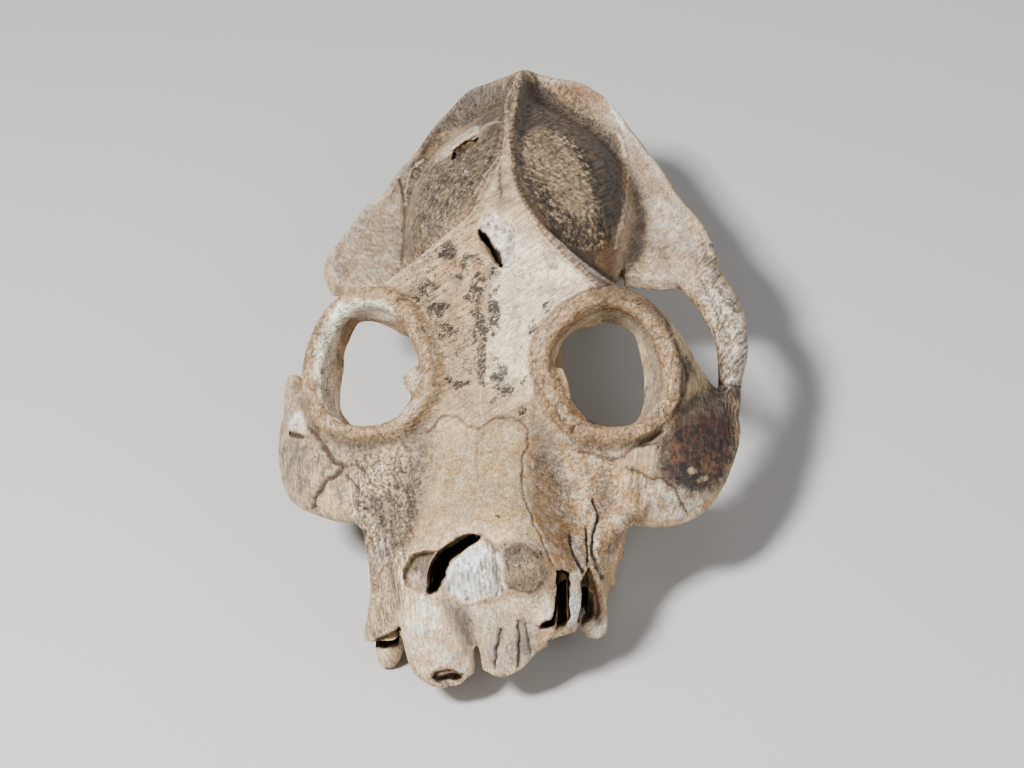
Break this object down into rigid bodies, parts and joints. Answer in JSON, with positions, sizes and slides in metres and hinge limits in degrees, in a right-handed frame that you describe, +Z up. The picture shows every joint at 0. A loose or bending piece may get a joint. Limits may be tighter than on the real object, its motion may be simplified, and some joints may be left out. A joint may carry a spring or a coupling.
{
  "type": "sloth lemur skull",
  "caption": "Life-size skull of a large extinct sloth lemur without its lower jaw, with a broken snout tip, open eye sockets and a broken right cheek arch, lying on its teeth.",
  "frame": {"origin": "centre of the skull's bounding box, on the floor it rests on", "axes": "+Y towards the back of the skull, -Y towards the snout, +X towards the skull's left, +Z up"},
  "size_m": [0.1176, 0.2012, 0.0755],
  "materials": {
    "occipital": "dry, lightly polished old bone",
    "temporal_left": "dry, lightly polished old bone",
    "temporal_right": "dry, lightly polished old bone",
    "jugal_left": "dry, lightly polished old bone",
    "jugal_right": "dry, lightly polished old bone",
    "frontal": "dry, lightly polished old bone",
    "sphenoid": "dry, lightly polished old bone",
    "parietals": "dry, lightly polished old bone",
    "premaxilla_left": "dry, lightly polished old bone",
    "premaxilla_right": "dry, lightly polished old bone",
    "nasal_left": "dry, lightly polished old bone",
    "nasal_right": "dry, lightly polished old bone",
    "maxilla_left": "dry, lightly polished old bone",
    "maxilla_right": "dry, lightly polished old bone"
  },
  "bodies": {
    "root": {"occipital": "occipital", "temporal_left": "temporal_left", "temporal_right": "temporal_right", "jugal_left": "jugal_left", "jugal_right": "jugal_right", "frontal": "frontal", "sphenoid": "sphenoid", "parietals": "parietals", "premaxilla_left": "premaxilla_left", "premaxilla_right": "premaxilla_right", "nasal_left": "nasal_left", "nasal_right": "nasal_right", "maxilla_left": "maxilla_left", "maxilla_right": "maxilla_right"}
  },
  "joints": []
}
